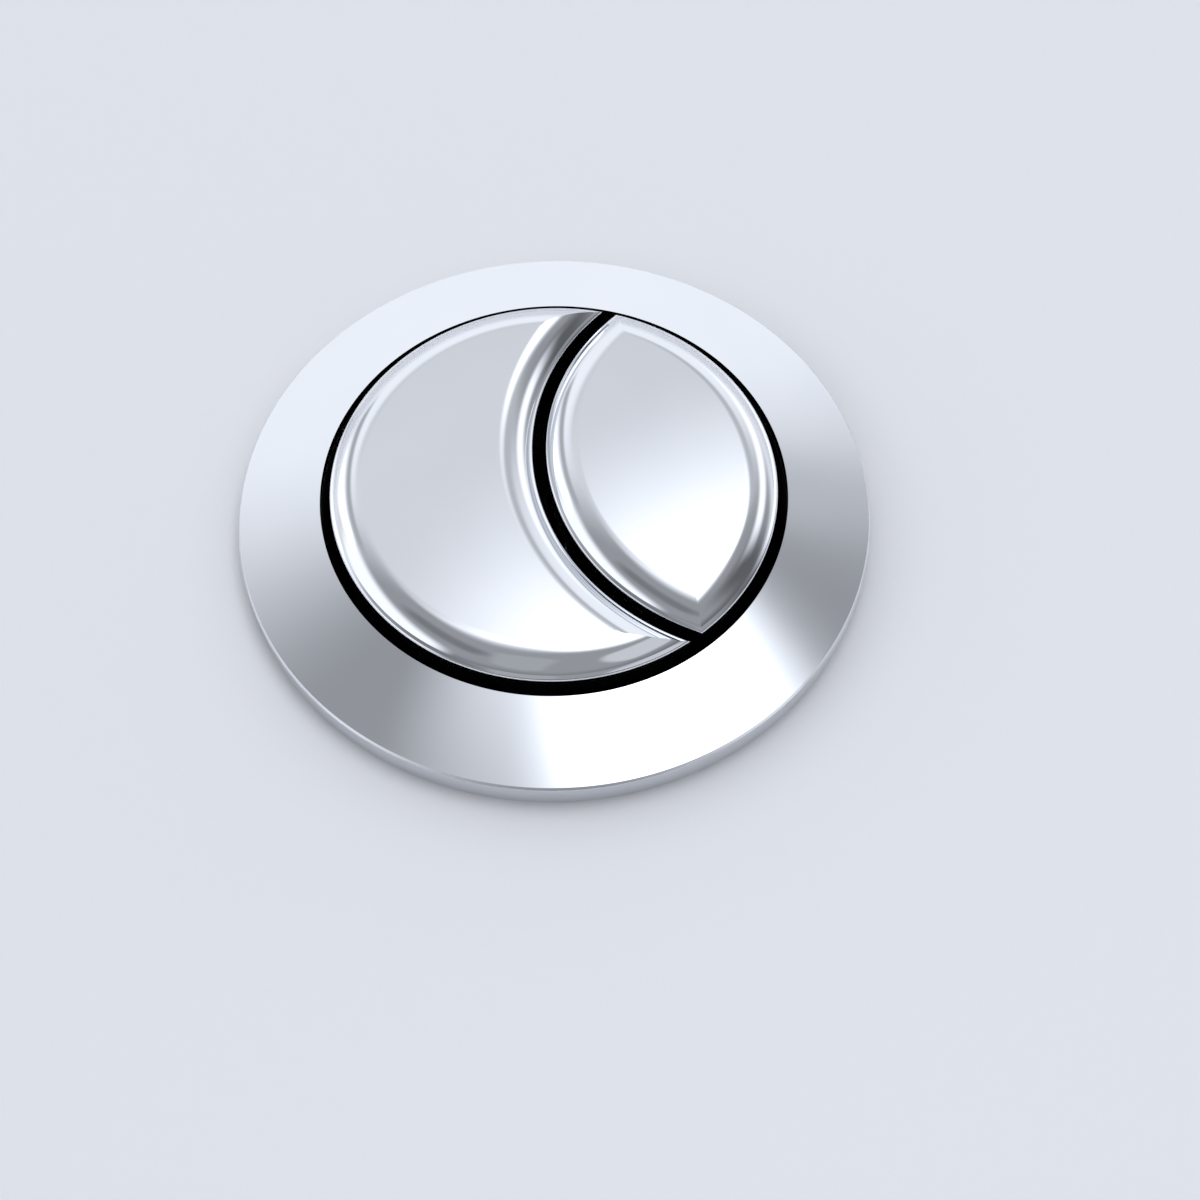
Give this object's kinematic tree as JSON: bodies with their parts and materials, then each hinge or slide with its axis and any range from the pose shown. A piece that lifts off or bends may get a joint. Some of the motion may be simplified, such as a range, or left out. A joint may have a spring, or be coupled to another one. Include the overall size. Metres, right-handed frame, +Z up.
{
  "type": "dual flush push button",
  "caption": "Round chromed push button for a cistern lid: sloped bezel, crescent and lens caps that press separately, threaded well with winged nut, push rods below.",
  "frame": {"origin": "on the well's axis, in the plane of the lid's top face, where the gasket and the bezel's rim sit", "axes": "+Z up out of the lid along the well's axis, +X towards the small lens-shaped half flush button, +Y to the left of someone who looks along +X"},
  "size_m": [0.0808, 0.076, 0.1014],
  "materials": {
    "chrome_plate": "bright decorative chrome plate on moulded ABS",
    "black_abs": "moulded black ABS, satin",
    "black_acetal": "moulded black acetal",
    "rubber": "moulded soft rubber",
    "white_polypropylene": "moulded white polypropylene, slightly translucent",
    "white_nylon": "natural nylon, moulded thread",
    "spring_steel": "drawn stainless spring steel"
  },
  "bodies": {
    "housing": {"bezel_ring": "chrome_plate", "housing": "black_abs", "lid_gasket": "rubber", "clamp_washer": "rubber", "mounting_nut": "white_polypropylene", "full_flush_spring": "spring_steel", "half_flush_spring": "spring_steel"},
    "full_flush": {"full_flush_cap": "chrome_plate", "full_flush_carrier": "black_acetal", "full_flush_clip": "spring_steel", "full_flush_rod": "white_nylon", "full_flush_rod_nut": "white_nylon", "full_flush_foot": "rubber"},
    "half_flush": {"half_flush_cap": "chrome_plate", "half_flush_carrier": "black_acetal", "half_flush_clip": "spring_steel", "half_flush_rod": "white_nylon", "half_flush_rod_nut": "white_nylon", "half_flush_foot": "rubber"}
  },
  "joints": [
    {"name": "full_flush_press", "type": "slide", "parent": "housing", "child": "full_flush", "axis": [0, 0, -1], "range_m": [0, 0.006], "stiffness_N_per_m": 500, "springref_m": -0.006, "deforming": ["full_flush_spring"]},
    {"name": "half_flush_press", "type": "slide", "parent": "housing", "child": "half_flush", "axis": [0, 0, -1], "range_m": [0, 0.006], "stiffness_N_per_m": 500, "springref_m": -0.006, "deforming": ["half_flush_spring"]}
  ]
}
